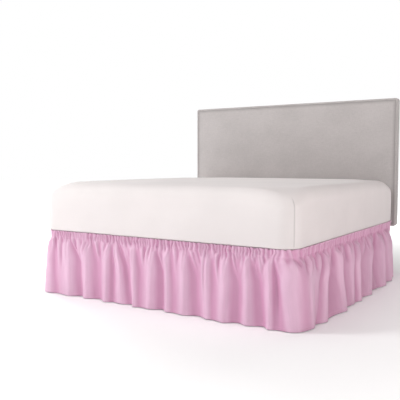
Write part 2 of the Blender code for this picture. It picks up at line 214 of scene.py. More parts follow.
SIDE_PLEAT_WIDTH = 1.25         # the pleats on the bed's right side are wider than their rows say
SIDE_PLEAT_HEIGHT = 1.5         # and they are higher

# ---------------------------------------------------------------- the header's gathers and the creases
# A share here is a share of the drop.
GATHER_PITCH = (0.016, 0.034)   # least and most distance from one gather to the next, at the foot
SIDE_SPACING = 1.7              # the sides' gathers are this much further apart
GATHER_WANDER = 0.012           # how far the ends of a gather's line stray from its middle
PAST_END = 0.03                 # the first and last gather lie this far past the cloth
GATHER_LEAN = (0.32, 0.68)      # where between its two valleys a gather's ridge stands
GATHER_FULLNESS = 0.022         # a gather of this width stands out as far as the setting says
MOST_FULLNESS = 1.6             # the widest ones stand out this many times as far
RUFFLE_SHARE = 0.015            # the ruffle that stands above the elastic's casing
CREST_PULL = 1.3                # how strongly gathers run towards their fold's crest
CORNER_REACH = 0.08             # the elastic draws the header in this near to a corner's middle
CORNER_DRAW = 0.006             # by this much
EDGE_FLARE = 0.0030             # how far the top edge leans out
SEAM_GROOVE = 0.0012            # depth of the groove that the header's seam pulls
HEM_GROOVE = 0.0007             # depth of the groove that the hem's stitches pull
HEM_THICKNESS = 0.0008          # the doubled hem stands out this much more
TURN_IN_TOP = 0.009             # how far the cloth is turned in at its top edge
TURN_IN_HEM = 0.012             # and under its hem

GATHER_SEED = 11
CREASE_SEED = 23
SHEET_SEED = 31
PAD_SEED = 37


# ---------------------------------------------------------------- settings a user may change
def colour_setting(name, description, default):
    return bpy.props.FloatVectorProperty(
        name=name, description=description, subtype="COLOR", size=3, min=0.0, max=1.0,
        default=default)


def length_setting(name, description, default, high, low=0.0):
    return bpy.props.FloatProperty(
        name=name, description=description, unit="LENGTH", min=low, max=high, default=default)


def angle_setting(name, description, degrees):
    return bpy.props.FloatProperty(
        name=name, description=description, subtype="ANGLE", default=math.radians(degrees))


class SkirtSettings(bpy.types.PropertyGroup):
    colour: colour_setting(
        "Cloth colour", "Colour of the brushed microfibre", (0.83, 0.53, 0.70))
    gather_height: length_setting(
        "Header gathers", "How far the header's gathers stand out", 0.0180, 0.03)
    pleat_height: length_setting(
        "Gather pleats", "How far the gathers' pleats under the header stand out", 0.0120, 0.03)
    scallop: length_setting(
        "Scallop", "Rise and fall of the header's top edge between gathers", 0.0050, 0.01)
    column_pitch: length_setting(
        "Mesh pitch", "Distance between the cloth mesh's upright lines", 0.0030, 0.02, 0.002)


class BedSettings(bpy.types.PropertyGroup):
    sheet_colour: colour_setting(
        "Sheet colour", "Colour of the fitted cotton sheet", (0.845, 0.795, 0.787))
    headboard_colour: colour_setting(
        "Headboard colour", "Colour of the headboard's woven upholstery", (0.48, 0.45, 0.443))
    ticking_colour: colour_setting(
        "Ticking colour", "Colour of the box spring's cover", (0.70, 0.68, 0.63))
    wood_colour: colour_setting(
        "Wood colour", "Colour of the headboard's legs", (0.16, 0.075, 0.033))
    mattress_crown: length_setting(
        "Mattress crown", "How much the mattress's top rises in its middle", 0.005, 0.03)
    corner_drop: length_setting(
        "Corner drop", "How far the sheet pulls down the mattress's top corners", 0.055, 0.10)
    welt_height: length_setting(
        "Welt", "How far a covered welt cord stands out of its seam", 0.0030, 0.01)


class StageSettings(bpy.types.PropertyGroup):
    camera_place: bpy.props.FloatVectorProperty(
        name="Camera place", description="Where the camera stands", subtype="TRANSLATION",
        size=3, unit="LENGTH", default=(2.255, -3.965, 0.927))
    camera_turn: angle_setting(
        "Camera turn", "How far the camera turns to the left of the head end", 32.73)
    camera_tilt: angle_setting("Camera tilt", "How far the camera looks down", 3.55)
    lens: bpy.props.FloatProperty(
        name="Lens", description="Focal length for a 36 mm sensor", subtype="DISTANCE_CAMERA",
        min=10.0, max=200.0, default=52.29)
    light_power: bpy.props.FloatProperty(
        name="Light power", description="Power that each light takes its share of", subtype="POWER",
        unit="POWER", min=0.0, max=5000.0, default=108.0)
    side_tint: colour_setting(
        "Side light tint", "Warm tint of the two lights on the right", (1.0, 0.91, 0.90))
    surround: bpy.props.FloatProperty(
        name="Surround", description="Brightness of the white studio all round", min=0.0, max=4.0,
        default=0.05)
    floor_colour: colour_setting(
        "Floor colour", "Colour of the plain pale floor", (0.93, 0.93, 0.93))


# ---------------------------------------------------------------- finishes as node materials
class Value:
    """One node's output, so that shader maths reads as a Python expression."""

    def __init__(self, finish, socket):
        self.finish = finish
        self.socket = socket

    def maths(self, operation, *numbers):
        return self.finish.node("ShaderNodeMath", {"operation": operation}, dict(enumerate(numbers)))

    def __add__(self, other):
        return self.maths("ADD", self, other)

    __radd__ = __add__

    def __sub__(self, other):
        return self.maths("SUBTRACT", self, other)

    def __rsub__(self, other):
        return self.maths("SUBTRACT", other, self)

    def __mul__(self, other):
        return self.maths("MULTIPLY", self, other)

    __rmul__ = __mul__

    def __pow__(self, power):
        return self.maths("POWER", self, power)

    def __abs__(self):
        return self.maths("ABSOLUTE", self)

    def __mod__(self, step):
        return self.maths("FLOORED_MODULO", self, step)

    def sine(self):
        return self.maths("SINE", self)

    def at_least(self, other):
        return self.maths("MAXIMUM", self, other)

    def between(self, low, high):
        """Rises smoothly from 0 at low to 1 at high."""
        settings = {"interpolation_type": "SMOOTHSTEP"}
        sockets = {"Value": self, "From Min": low, "From Max": high, "To Min": 0.0, "To Max": 1.0}
        return self.finish.node("ShaderNodeMapRange", settings, sockets)


class Finish:
    """A material while it is made: adds its nodes and wires them up."""

    def __init__(self, name):
        self.material = bpy.data.materials.new(name)
        self.material.use_nodes = True
        self.tree = self.material.node_tree
        self.shader = self.tree.nodes["Principled BSDF"]

    def node(self, kind, settings=None, sockets=None, output=0):
        """Adds a node. Its settings come first, then a value or a link for each socket."""
        added = self.tree.nodes.new(kind)
        for name, value in (settings or {}).items():
            setattr(added, name, value)
        for name, value in (sockets or {}).items():
            self.feed(added.inputs[name], value)
        return Value(self, added.outputs[output])

    def feed(self, socket, value):
        if isinstance(value, Value):
            self.tree.links.new(value.socket, socket)
        else:
            socket.default_value = value

    def place(self):
        """The point on the object, in metres."""
        return self.node("ShaderNodeTexCoord", output="Object")

    def cloth_place(self):
        """The point on the flat cloth, in metres along and down it."""
        return self.node("ShaderNodeUVMap", {"uv_map": "cloth"})

    def painted(self, name):
        """A value from 0 to 1 that the mesh holds for each of its points."""
        return self.node("ShaderNodeAttribute", {"attribute_name": name}, output="Fac")

    def stretched(self, vector, scale):
        settings = {"operation": "MULTIPLY"}
        return self.node("ShaderNodeVectorMath", settings, {0: vector, 1: scale})

    def parts(self, vector):
        split = self.node("ShaderNodeSeparateXYZ", sockets={0: vector}).socket.node
        return [Value(self, output) for output in split.outputs]

    def streaks(self, vector, scale, detail=3.0, roughness=0.5):
        """Noise with its own scale along each axis."""
        return self.noise(self.stretched(vector, scale), 1.0, detail, roughness)

    def noise(self, vector, scale, detail=2.0, roughness=0.5):
        sockets = {"Vector": vector, "Scale": scale, "Detail": detail, "Roughness": roughness}
        return self.node("ShaderNodeTexNoise", sockets=sockets)

    def spots(self, vector, scale):
        return self.node("ShaderNodeTexVoronoi", sockets={"Vector": vector, "Scale": scale})

    def mix(self, share, first, second):
        settings = {"data_type": "RGBA"}
        sockets = {0: share, 6: self.colour(first), 7: self.colour(second)}
        return self.node("ShaderNodeMix", settings, sockets, output=2)

    def shades(self, share, colour, dark, pale):
        """A colour that goes from a darker to a paler shade of itself."""
        return self.mix(share, shade(colour, dark), shade(colour, pale))

    @staticmethod
    def colour(value):
        return value if isinstance(value, Value) else (*value, 1.0)

    def bump(self, height, distance, strength=1.0):
        """Takes a height from 0 to 1 and how many metres that is."""
        sockets = {"Height": height, "Distance": distance, "Strength": strength}
        return self.node("ShaderNodeBump", sockets=sockets)

    def surface(self, **sockets):
        """Feeds the shader's own sockets, named with _ for a space, and gives the material."""
        for name, value in sockets.items():
            label = name.replace("_", " ").title().replace("Ior", "IOR")
            if isinstance(value, tuple) and len(value) == 3:
                value = (*value, 1.0)
            self.feed(self.shader.inputs[label], value)
        return self.material


# pitch of each cloth's threads, and of the ticking's stripes
SKIRT_THREAD = 0.0011
SHEET_THREAD = 0.0010
TICKING_THREAD = 0.0013
UPHOLSTERY_THREAD = 0.0014
STRIPE_PITCH = 0.022


def shade(colour, factor):
    return tuple(min(1.0, part * factor) for part in colour)


def plain_weave(along, across, pitch):
    """Height of a plain weave, from 0 to 1: threads pass over and under each other."""
    turn = math.pi / pitch
    return (along * turn).sine() * (across * turn).sine() * 0.5 + 0.5


def stitch_row(along, down, level, pitch=0.0034, half_width=0.0007):
    """A row of stitches at one distance down the cloth: 1 on a stitch, 0 off it."""
    line = 1 - abs(down - level).between(half_width * 0.5, half_width)
    dash = abs(along % pitch - pitch / 2).between(pitch * 0.42, pitch * 0.32)
    return line * dash


def skirt_cloth(settings):
    """Brushed microfibre: soft sheen, fine weave, sewn header and hem."""
    finish = Finish("brushed pink microfibre")
    point = finish.cloth_place()
    along, down, _ = finish.parts(point)
    pink = tuple(settings.colour)

    cloudy = finish.noise(point, 5.0, 3.0)
    streaks = finish.streaks(point, (60.0, 6.0, 1.0), 3.0)
    nap = finish.noise(point, 900.0, 2.0)
    tone = cloudy * 0.45 + streaks * 0.35 + nap * 0.20
    base = finish.shades(tone.between(0.30, 0.70), pink, 0.93, 1.05)
    # light that has passed from fold to fold is darker and pinker
    # painted shade: a darker, pinker colour in the cloth's hollows stands in for their shade and for light
    # passed from fold to fold
    shaded_pink = tuple(part * share for part, share in zip(pink, (0.84, 0.66, 0.76)))
    base = finish.mix(finish.painted("hollow_shade"), base, shaded_pink)

    # stitches along the header's seam, its top edge and the hem
    seams = stitch_row(along, down, HEADER_SHARE * SKIRT_DROP)
    seams = seams.at_least(stitch_row(along, down, 0.005))
    seams = seams.at_least(stitch_row(along, down, SKIRT_DROP - HEM_DEPTH))
    base = finish.mix(seams * 0.55, base, shade(pink, 1.16))
    # darker in patches along the hem's lowest 6 mm
    hem_edge_darkening = (down - (SKIRT_DROP - 0.006)).between(0.0, 0.006) * finish.noise(point, 30.0, 4.0)
    base = finish.mix(hem_edge_darkening * 0.35, base, shade(pink, 0.80))

    weave = plain_weave(along, down, SKIRT_THREAD)
    crumple = finish.streaks(point, (24.0, 9.0, 1.0), 4.0, 0.55)
    relief = weave * 0.04 + nap * 0.06 + crumple * 0.90 + seams * 0.25
    return finish.surface(
        base_color=base,
        roughness=0.46 + (nap - 0.5) * 0.12 + (cloudy - 0.5) * 0.08,
        normal=finish.bump(relief, 0.0016, 0.45),
        specular_ior_level=0.68, sheen_weight=0.06, sheen_roughness=0.40,
        sheen_tint=(1.0, 0.86, 0.94))


def sheet_cloth(settings):
    """Smooth cotton of the fitted sheet, with soft pull marks."""
    finish = Finish("white cotton sheet")
    point = finish.place()
    along, away, up = finish.parts(point)
    white = tuple(settings.sheet_colour)
    cloudy = finish.noise(point, 3.0, 3.0)
    threads = finish.noise(point, 700.0, 2.0)
    tone = cloudy * 0.6 + threads * 0.4
    base = finish.shades(tone.between(0.35, 0.65), white, 0.97, 1.02)
    # painted shade: the groove of each corner seam is painted darker
    base = finish.mix(finish.painted("seam") * 0.8, base, shade(white, 0.66))
    weave = plain_weave(along + away, up + away, SHEET_THREAD)
    pulls = finish.streaks(point, (5.0, 5.0, 9.0), 4.0, 0.5)
    relief = weave * 0.08 + threads * 0.07 + pulls * 0.85
    return finish.surface(
        base_color=base, roughness=0.78 + (threads - 0.5) * 0.12,
        normal=finish.bump(relief, 0.0022, 0.35),
        specular_ior_level=0.25, sheen_weight=0.12, sheen_roughness=0.5)


def ticking_cloth(settings):
    """Woven box spring cover with narrow stripes."""
    finish = Finish("striped ticking")
    point = finish.place()
    along, away, up = finish.parts(point)
    cream = tuple(settings.ticking_colour)
    across = along + away
    wide = abs(across % STRIPE_PITCH - STRIPE_PITCH / 2).between(0.0012, 0.0006)
    narrow = abs((across + 0.005) % STRIPE_PITCH - STRIPE_PITCH / 2).between(0.0006, 0.0003)
    stripe = wide.at_least(narrow)
    threads = finish.noise(point, 520.0, 2.0)
    cloudy = finish.noise(point, 4.0, 3.0)
    tone = threads * 0.6 + cloudy * 0.4
    base = finish.shades(tone.between(0.35, 0.65), cream, 0.95, 1.04)
    base = finish.mix(stripe * 0.6, base, (0.26, 0.29, 0.33))
    weave = plain_weave(along + away, up + away, TICKING_THREAD)
    relief = weave * 0.4 + threads * 0.3 + cloudy * 0.3
    return finish.surface(
        base_color=base, roughness=0.82 + (threads - 0.5) * 0.1,
        normal=finish.bump(relief, 0.0006, 0.6), specular_ior_level=0.25)


def dust_cover():
    """Thin black bonded cloth under the box spring."""
    finish = Finish("black dust cover")
    point = finish.place()
    fibres = finish.noise(finish.stretched(point, (1.0, 2.4, 1.0)), 420.0, 3.0)
    dimples = finish.spots(point, 700.0)
    dust = finish.noise(point, 6.0, 4.0)
    base = finish.mix(fibres.between(0.3, 0.7), (0.020, 0.020, 0.022), (0.045, 0.045, 0.048))
    base = finish.mix(dust.between(0.55, 0.8) * 0.5, base, (0.10, 0.095, 0.09))
    return finish.surface(
        base_color=base, roughness=0.80 + (dust - 0.5) * 0.2,
        normal=finish.bump(dimples * 0.7 + fibres * 0.3, 0.0005, 0.7))


def headboard_cloth(settings):
    """Flat grey upholstery with slubs in its weave."""
    finish = Finish("grey woven upholstery")
    point = finish.place()
    along, away, up = finish.parts(point)
    grey = tuple(settings.headboard_colour)
    warp = finish.streaks(point, (650.0, 650.0, 40.0), 2.0)
    weft = finish.streaks(point, (40.0, 40.0, 650.0), 2.0)
    cloudy = finish.noise(point, 3.5, 3.0)
    tone = warp * 0.35 + weft * 0.35 + cloudy * 0.30
    base = finish.shades(tone.between(0.38, 0.62), grey, 0.90, 1.07)
    # painted shadow along the dip by the welt
    base = finish.mix(finish.painted("welt_shadow") * 0.9, base, shade(grey, 0.60))
    weave = plain_weave(along + away, up, UPHOLSTERY_THREAD)
    relief = weave * 0.35 + warp * 0.25 + weft * 0.25 + cloudy * 0.15
    return finish.surface(
        base_color=base, roughness=0.86 + (warp - 0.5) * 0.12,
        normal=finish.bump(relief, 0.0009, 0.6),
        specular_ior_level=0.25, sheen_weight=0.15, sheen_roughness=0.5)


def leg_wood(settings):
    """Dark stained hardwood, with its grain upright and its edges rubbed paler."""
    finish = Finish("dark stained wood")
    point = finish.place()
    _, _, up = finish.parts(point)
    brown = tuple(settings.wood_colour)
    drift = finish.streaks(point, (9.0, 9.0, 1.2), 3.0)
    rings = finish.streaks(point, (140.0, 140.0, 3.0), 4.0)
    pores = finish.streaks(point, (900.0, 900.0, 22.0), 2.0)
    tone = rings * 0.6 + drift * 0.4
    base = finish.shades(tone.between(0.35, 0.65), brown, 0.60, 1.5)
    base = finish.mix(pores.between(0.58, 0.72) * 0.6, base, shade(brown, 0.35))
    scuffs = finish.noise(point, 60.0, 4.0).between(0.60, 0.75) * (0.10 - up).between(0.0, 0.10)
    base = finish.mix(scuffs * 0.6, base, shade(brown, 2.6))
    relief = rings * 0.4 + (1 - pores.between(0.58, 0.72)) * 0.6
    return finish.surface(
        base_color=base, roughness=0.42 + (rings - 0.5) * 0.20 + scuffs * 0.25,
        normal=finish.bump(relief, 0.0004, 0.5), coat_weight=0.25, coat_roughness=0.30)


def frame_steel():
    """Black powder-coated steel, chipped here and there."""
    finish = Finish("black powder-coated steel")
    point = finish.place()
    _, _, up = finish.parts(point)
    orange_peel = finish.noise(point, 420.0, 2.0)
    cloudy = finish.noise(point, 7.0, 4.0)
    chips = finish.noise(point, 95.0, 5.0, 0.65)
    low = (0.06 - up).between(0.0, 0.06)
    chipped = chips.between(0.70, 0.73) * (0.35 + low * 0.65)
    base = finish.mix(cloudy.between(0.35, 0.65), (0.020, 0.020, 0.022), (0.034, 0.034, 0.037))
    base = finish.mix(chipped, base, (0.33, 0.32, 0.31))
    return finish.surface(
        base_color=base, metallic=chipped * 0.8,
        roughness=0.48 + (cloudy - 0.5) * 0.2 - chipped * 0.1,
        normal=finish.bump(orange_peel * 0.7 - chipped * 0.3, 0.0003, 0.7))


def glide_plastic():
    """Moulded black plastic, scuffed where it meets the floor."""
    finish = Finish("moulded black plastic")
    point = finish.place()
    _, _, up = finish.parts(point)
    grain = finish.spots(point, 1600.0)
    cloudy = finish.noise(point, 25.0, 3.0)
    scuffs = finish.noise(finish.stretched(point, (1.0, 1.0, 6.0)), 160.0, 4.0)
    scuffs = scuffs.between(0.5, 0.7) * (0.006 - up).between(0.0, 0.006)
    base = finish.mix(cloudy.between(0.35, 0.65), (0.014, 0.014, 0.015), (0.026, 0.026, 0.027))
    base = finish.mix(scuffs * 0.8, base, (0.11, 0.11, 0.11))
    return finish.surface(
        base_color=base, roughness=0.50 + (cloudy - 0.5) * 0.15 + scuffs * 0.25,
        normal=finish.bump(grain, 0.0002, 0.6))


def studio_floor(settings):
    """Plain pale studio floor."""
    finish = Finish("pale studio floor")
    point = finish.place()
    along, away, _ = finish.parts(point)
    mottle = finish.noise(point, 2.0, 3.0)
    pale = tuple(settings.floor_colour)
    base = finish.shades(mottle.between(0.3, 0.7), pale, 0.995, 1.0)
    distance = (along * along + away * away) ** 0.5
    glow = finish.mix(distance.between(1.0, 6.0), (0.12, 0.12, 0.12), (1.0, 1.0, 1.0))
    return finish.surface(base_color=base, roughness=0.9, specular_ior_level=0.1,
                          emission_color=glow, emission_strength=1.0)


# ---------------------------------------------------------------- mesh helpers
TINY = 1e-6                     # a shorter distance counts as none


def smooth(t):
    t = np.clip(t, 0.0, 1.0)
    return t * t * (3 - 2 * t)


def eased(t, straight):
    """Goes from 0 to 1 as t does, partly straight and partly smoothly."""
    return straight * t + (1 - straight) * smooth(t)


def bell(distance, width):
    """1 at no distance, falling smoothly to almost nothing two widths away."""
    return np.exp(-((distance / width) ** 2))


def drift(across, down, seed):
    """Smooth random values from -1 to 1, one patch to each whole number across and down."""
    wide, high = 1024, 256
    table = np.random.default_rng(seed).uniform(-1.0, 1.0, (wide, high))
    column = np.floor(across).astype(int)
    row = np.floor(down).astype(int)
    u = smooth(across - column)
    v = smooth(down - row)

    def patch(step_across, step_down):
        return table[(column + step_across) % wide, (row + step_down) % high]

    top = patch(0, 0) * (1 - u) + patch(1, 0) * u
    low = patch(0, 1) * (1 - u) + patch(1, 1) * u
    return top * (1 - v) + low * v


def piece_collection():
    found = bpy.data.collections.get("bed skirt with bed")
    if found is None:
        found = bpy.data.collections.new("bed skirt with bed")
        bpy.context.scene.collection.children.link(found)
    return found


def make_piece(name, points, faces, material, nodes):
    """A smooth-shaded piece that stands for CAD nodes and moves with the bed."""
    mesh = bpy.data.meshes.new(name)
    mesh.from_pydata([tuple(p) for p in points], [], [tuple(f) for f in faces])
    mesh.update()
    mesh.shade_smooth()
    mesh.materials.append(material)
    piece = bpy.data.objects.new(name, mesh)
    piece_collection().objects.link(piece)
    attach(piece, "root")
    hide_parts(*nodes)
    return piece


def paint_points(piece, name, values):
    """Keeps one number for each point, which the finish reads by its name."""
    layer = piece.data.attributes.new(name, "FLOAT", "POINT")
    layer.data.foreach_set("value", np.ravel(values).astype(np.float32))


def grid_faces(columns, rows):
    """Quads of a grid whose points run down each column in turn."""
    corner = (np.arange(columns - 1)[:, None] * rows + np.arange(rows - 1)[None, :]).ravel()
    return np.stack([corner, corner + 1, corner + rows + 1, corner + rows], axis=1)


# ---------------------------------------------------------------- the skirt
def outline_at(place):
    """The box spring's outline at places along it, and the direction that faces away there."""
    side = np.where(place < 0, -1.0, 1.0)
    run = np.abs(place)
    straight_y = BOX_HALF_LENGTH - BOX_CORNER
    on_foot = run < FOOT_END
    on_side = (run >= SIDE_START) & (run < SIDE_END)
    near_turn = np.clip((run - FOOT_END) / BOX_CORNER, 0.0, math.pi / 2)
    far_turn = np.clip((run - SIDE_END) / BOX_CORNER, 0.0, math.pi / 2)
    turn = near_turn + far_turn
    x = FOOT_END + BOX_CORNER * np.sin(turn)
    y = np.where(turn <= math.pi / 2, -straight_y, straight_y) - BOX_CORNER * np.cos(turn)
    x = np.where(on_foot, run, x)
    y = np.where(on_side, -straight_y + run - SIDE_START, y)
    beyond = np.clip(run - RETURN_START, 0.0, None)
    return side * (x - beyond), y, side * np.sin(turn), -np.cos(turn)


def fold_lines():
    """Every crest and valley in turn: its places, its reaches, its flank's power, if it is a crest."""
    end = (END_REACH, END_REACH, 1.0)
    lines = [(-SKIRT_END,) * 3 + end + (0.0,)]
    for row in FOLDS:
        lines.append(row[:6] + (1.0,))
        lines.append(row[6:] + (0.0,))
    lines.append((LAST_CREST,) * 3 + end + (1.0,))
    lines.append((SKIRT_END,) * 3 + end + (0.0,))
    return np.array(lines)


def fall(share):
    """How far a share of the drop is from the header to the middle, and from there to the hem."""
    upper = np.clip((share - HEADER_SHARE) / (MIDDLE_SHARE - HEADER_SHARE), 0.0, 1.0)
    lower = np.clip((share - MIDDLE_SHARE) / (1 - MIDDLE_SHARE), 0.0, 1.0)
    return upper, lower


def line_places(lines, share):
    """Where each line has got to at a share of the drop."""
    top, middle, hem = lines[:, 0], lines[:, 1], lines[:, 2]
    upper, lower = fall(share)
    return top + (middle - top) * eased(upper, 0.6) + (hem - middle) * lower


def line_reaches(lines, share):
    """How far each line stands out at a share of the drop: folds open quickly under the header."""
    middle, hem = lines[:, 3], lines[:, 4]
    upper, lower = fall(share)
    opened = 1 - (1 - upper) ** FOLD_OPENING
    return HEADER_OUT + (middle - HEADER_OUT) * opened + (hem - middle) * eased(lower, 0.6)


def flank_climb(power, rising, t):
    """How high the cloth is at t across a flank: 0 in its valley, 1 on its crest."""
    climb = np.where(rising, t, 1 - t)
    return 0.25 * smooth(climb) + 0.75 * climb ** power


def gather_table():
    """Each gather: its line's places at the top edge, the middle and the seam of the header, its
    strength, how long its pleat is, and where its ridge stands."""
    random = np.random.default_rng(GATHER_SEED)
    middles = [-SKIRT_END - PAST_END]
    while middles[-1] < SKIRT_END + PAST_END:
        spacing = 1.0 if abs(middles[-1]) < FOOT_END else SIDE_SPACING
        middles.append(middles[-1] + random.uniform(*GATHER_PITCH) * spacing)
    middles = np.array(middles)
    count = len(middles)
    tops = np.sort(middles + random.uniform(-GATHER_WANDER, GATHER_WANDER, count))
    seams = np.sort(middles + random.uniform(-GATHER_WANDER, GATHER_WANDER, count))
    strength = random.uniform(0.50, 1.0, count)
    length = random.uniform(0.0, 1.0, count) ** 1.5
    lean = random.uniform(*GATHER_LEAN, count)
    return tops, middles, seams, strength, length, lean


def gathers_at(share, gathers, lines):
    """Where each gather's line has got to at a share of the drop: it runs towards its fold's crest."""
    tops, middles, seams = gathers[:3]
    if share <= HEADER_SHARE:
        t = 2 * share / HEADER_SHARE
        if t < 1:
            return tops + (middles - tops) * t
        return middles + (seams - middles) * (t - 1)
    pull = 1 + CREST_PULL * smooth((share - HEADER_SHARE) / 0.40)
    top_places = line_places(lines, HEADER_SHARE)
    now_places = line_places(lines, share)
    index = np.interp(seams, top_places, np.arange(len(lines)))
    low = np.clip(np.floor(index).astype(int), 0, len(lines) - 2)
    t = np.clip(index - low, 0.0, 1.0)
    crest_right = lines[low + 1, 6] > 0.5
    from_crest = np.where(crest_right, 1 - t, t) ** pull
    t = np.where(crest_right, 1 - from_crest, from_crest)
    return now_places[low] + (now_places[low + 1] - now_places[low]) * t


def gather_relief(place, share, gathers, lines, settings):
    """How far the gathers and the small pleats under them stand out at one height."""
    strength, length, lean = gathers[3:]
    here = gathers_at(share, gathers, lines)
    index = np.interp(place, here, np.arange(len(here)))
    cell = np.clip(np.floor(index).astype(int), 0, len(here) - 2)
    width = here[cell + 1] - here[cell]
    t = (index - cell) ** (math.log(0.5) / np.log(lean[cell]))
    form = (0.5 - 0.5 * np.cos(2 * math.pi * t)) ** 0.85 - 0.50
    if share <= HEADER_SHARE:
        # full over the casing's middle and at the ruffle's edge, flatter at the casing's two rims
        down_casing = np.clip((share - RUFFLE_SHARE) / (HEADER_SHARE - RUFFLE_SHARE), 0.0, 1.0)
        full = max(math.sin(math.pi * down_casing), 1 - smooth(share / 0.020))
        height = settings.gather_height * strength[cell] * (0.75 + 0.25 * full)
    else:
        run = 0.05 + 0.20 * length[cell]
        height = settings.pleat_height * strength[cell] * (1 - smooth((share - HEADER_SHARE) / run))
    return form * height * np.clip(width / GATHER_FULLNESS, 0.0, MOST_FULLNESS)


def pleat_relief(place, share):
    """How far the narrow pleats of the table stand out at one height."""
    total = np.zeros_like(place)
    begun = smooth((share - HEADER_SHARE) / 0.05)
    for top, start, low, end, half_width, height in PLEATS:
        if not HEADER_SHARE < share < end:
            continue
        if top > SIDE_START:
            half_width = SIDE_PLEAT_WIDTH * half_width
            height = SIDE_PLEAT_HEIGHT * height
        t = np.clip((share - start) / (end - start), 0.0, 1.0)
        off = place - (top + (low - top) * eased(t, 0.45))
        width = np.where(off > 0, 0.80, 1.20) * half_width
        fade = 1 - smooth((t - 0.40) / 0.60)
        # the cloth beside a pleat goes back a little
        total += height * begun * fade * (bell(off, width) - 0.30 * bell(off, 2.4 * width))
    return total


def soften(values, spread):
    """Averages each value with its neighbours, which rounds the creases where two flanks meet."""
    reach = int(3 * spread)
    weights = np.exp(-0.5 * (np.arange(-reach, reach + 1) / spread) ** 2)
    padded = np.pad(values, reach, mode="edge")
    return np.convolve(padded, weights / weights.sum(), mode="valid")


def hollow_shade_at(place, out, climb, share):
    """How much shade is painted on the cloth by how deep it lies between its folds and its gathers, from 0
    on a crest to 1 at the deepest.
    """
    # painted shade: all of the header is shaded as drawn in, more on the sides than at the foot; below it
    # the deep valleys are shaded
    opened = smooth((share - HEADER_SHARE) / 0.12)
    drawn_in = 0.55 + 0.70 * smooth((np.abs(place) - FOOT_END) / 0.15)
    valley = drawn_in * (1 - opened) + (1 - soften(climb, 4.0)) * opened
    crease = (soften(out, 9.0) - out) / 0.011
    return np.clip(0.8 * valley + crease, 0.0, 1.0)


def row_shares():
    """Shares of the drop at which the cloth has a row of points: close under the header and at the hem."""
    header = np.linspace(0.0, HEADER_SHARE, 12)
    pleats = HEADER_SHARE + (0.50 - HEADER_SHARE) * np.linspace(0.0, 1.0, 19)[1:] ** 1.25
    plain = np.linspace(0.50, 0.94, 10)[1:]
    hem = np.array([HEM_LINE - 0.006, HEM_LINE, HEM_LINE + 0.006, 0.985, 1.0])
    return np.concatenate([header, pleats, plain, hem])


def columns_across(lines, pitch):
    """The line on the left of each column of points, and the column's share of the way to the next."""
    lefts, shares = [], []
    for left in range(len(lines) - 1):
        steps = max(2, round((lines[left + 1, 1] - lines[left, 1]) / pitch))
        lefts += [left] * steps
        shares += [step / steps for step in range(steps)]
    return np.array(lefts + [len(lines) - 2]), np.array(shares + [1.0])


def creases(place, share):
    """Small unevenness of the cloth, with the grooves along its seam and its hem's stitches."""
    soft = drift(place / 0.055, np.full_like(place, share * 3.2 + 3), CREASE_SEED)
    small = drift(place / 0.021, np.full_like(place, share * 9.0 + 3), CREASE_SEED + 1)
    relief = 0.0030 * soft * smooth((share - 0.12) / 0.3) + 0.0010 * small * smooth(share / 0.3)
    relief -= SEAM_GROOVE * bell(share - HEADER_SHARE, 0.012) + HEM_GROOVE * bell(share - HEM_LINE, 0.004)
    return relief + HEM_THICKNESS * (share > HEM_LINE)


def cloth_row(share, lines, gathers, columns, settings):
    """One row of the cloth: its places along the outline, its points, and the shade painted on each by how
    deep it lies.
    """
    lefts, t = columns
    rights = lefts + 1
    climb = flank_climb(lines[rights, 5], lines[rights, 6] > 0.5, t)
    places = line_places(lines, share)
    reaches = line_reaches(lines, share)
    # the folds are rounder towards the hem
    spread = 2.2 + 1.3 * smooth((share - 0.6) / 0.4)
    place = soften(places[lefts] + (places[rights] - places[lefts]) * t, spread)
    low = np.minimum(reaches[lefts], reaches[rights])
    high = np.maximum(reaches[lefts], reaches[rights])
    out = soften(low + (high - low) * climb, spread)

    # the folds begin in an uneven line under the header
    pucker = 0.5 + 0.5 * drift(place / 0.019, np.full_like(place, 5.0), CREASE_SEED + 2)
    opened = smooth((share - HEADER_SHARE - 0.035 * pucker) / (0.05 + 0.04 * pucker))
    out = HEADER_OUT + (out - HEADER_OUT) * opened

    # the elastic pulls the header close to the box spring's corners
    tight = (1 - opened) * bell(np.abs(place) - CORNER_MIDDLE, CORNER_REACH)
    gather = gather_relief(place, share, gathers, lines, settings) * (1 - 0.5 * tight)
    out += gather + pleat_relief(place, share) - CORNER_DRAW * tight
    lift = gather / max(settings.gather_height, 1e-6)
    out += (1 - smooth(share / 0.040)) * (EDGE_FLARE + 0.008 * lift)
    out += creases(place, share)
    # never nearer to the box spring than the least reach, with no sharp bend there
    out = LEAST_REACH + np.logaddexp(0.0, (out - LEAST_REACH) / 0.002) * 0.002

    x, y, away_x, away_y = outline_at(place)
    z = np.full_like(place, SKIRT_TOP - SKIRT_DROP * share)
    z += (1 - smooth(share / 0.05)) * settings.scallop * np.clip(lift * 2, -0.8, 0.8)
    points = np.stack([x + away_x * out, y + away_y * out, z], axis=1)
    return place, points, hollow_shade_at(place, out, climb, share)


def skirt_points(settings):
    """The cloth as a grid of points, in columns that run down it, and the shade painted on each point by
    how deep it lies.
    """
    lines = fold_lines()
    gathers = gather_table()
    columns = columns_across(lines, settings.column_pitch)
    rows, hollow_shades = [], []
    for share in row_shares():
        place, points, hollow_shade = cloth_row(share, lines, gathers, columns, settings)
        rows.append(points)
        hollow_shades.append(hollow_shade)

    # the cloth turns in over its top edge and under its hem
    _, _, away_x, away_y = outline_at(place)
    inward = np.stack([-away_x, -away_y, np.zeros_like(away_x)], axis=1)
    down = np.array([0.0, 0.0, -1.0])
    top, hem = rows[0], rows[-1]
    over = [top + inward * 0.0018 + down * TURN_IN_TOP, top + inward * 0.0014 + down * 0.0012]
    under = [hem + inward * 0.0012 - down * 0.0004, hem + inward * 0.0016 - down * TURN_IN_HEM]
    hollow_shades = hollow_shades[:1] * 2 + hollow_shades + hollow_shades[-1:] * 2
    return np.stack(over + rows + under, axis=1), np.stack(hollow_shades, axis=1)


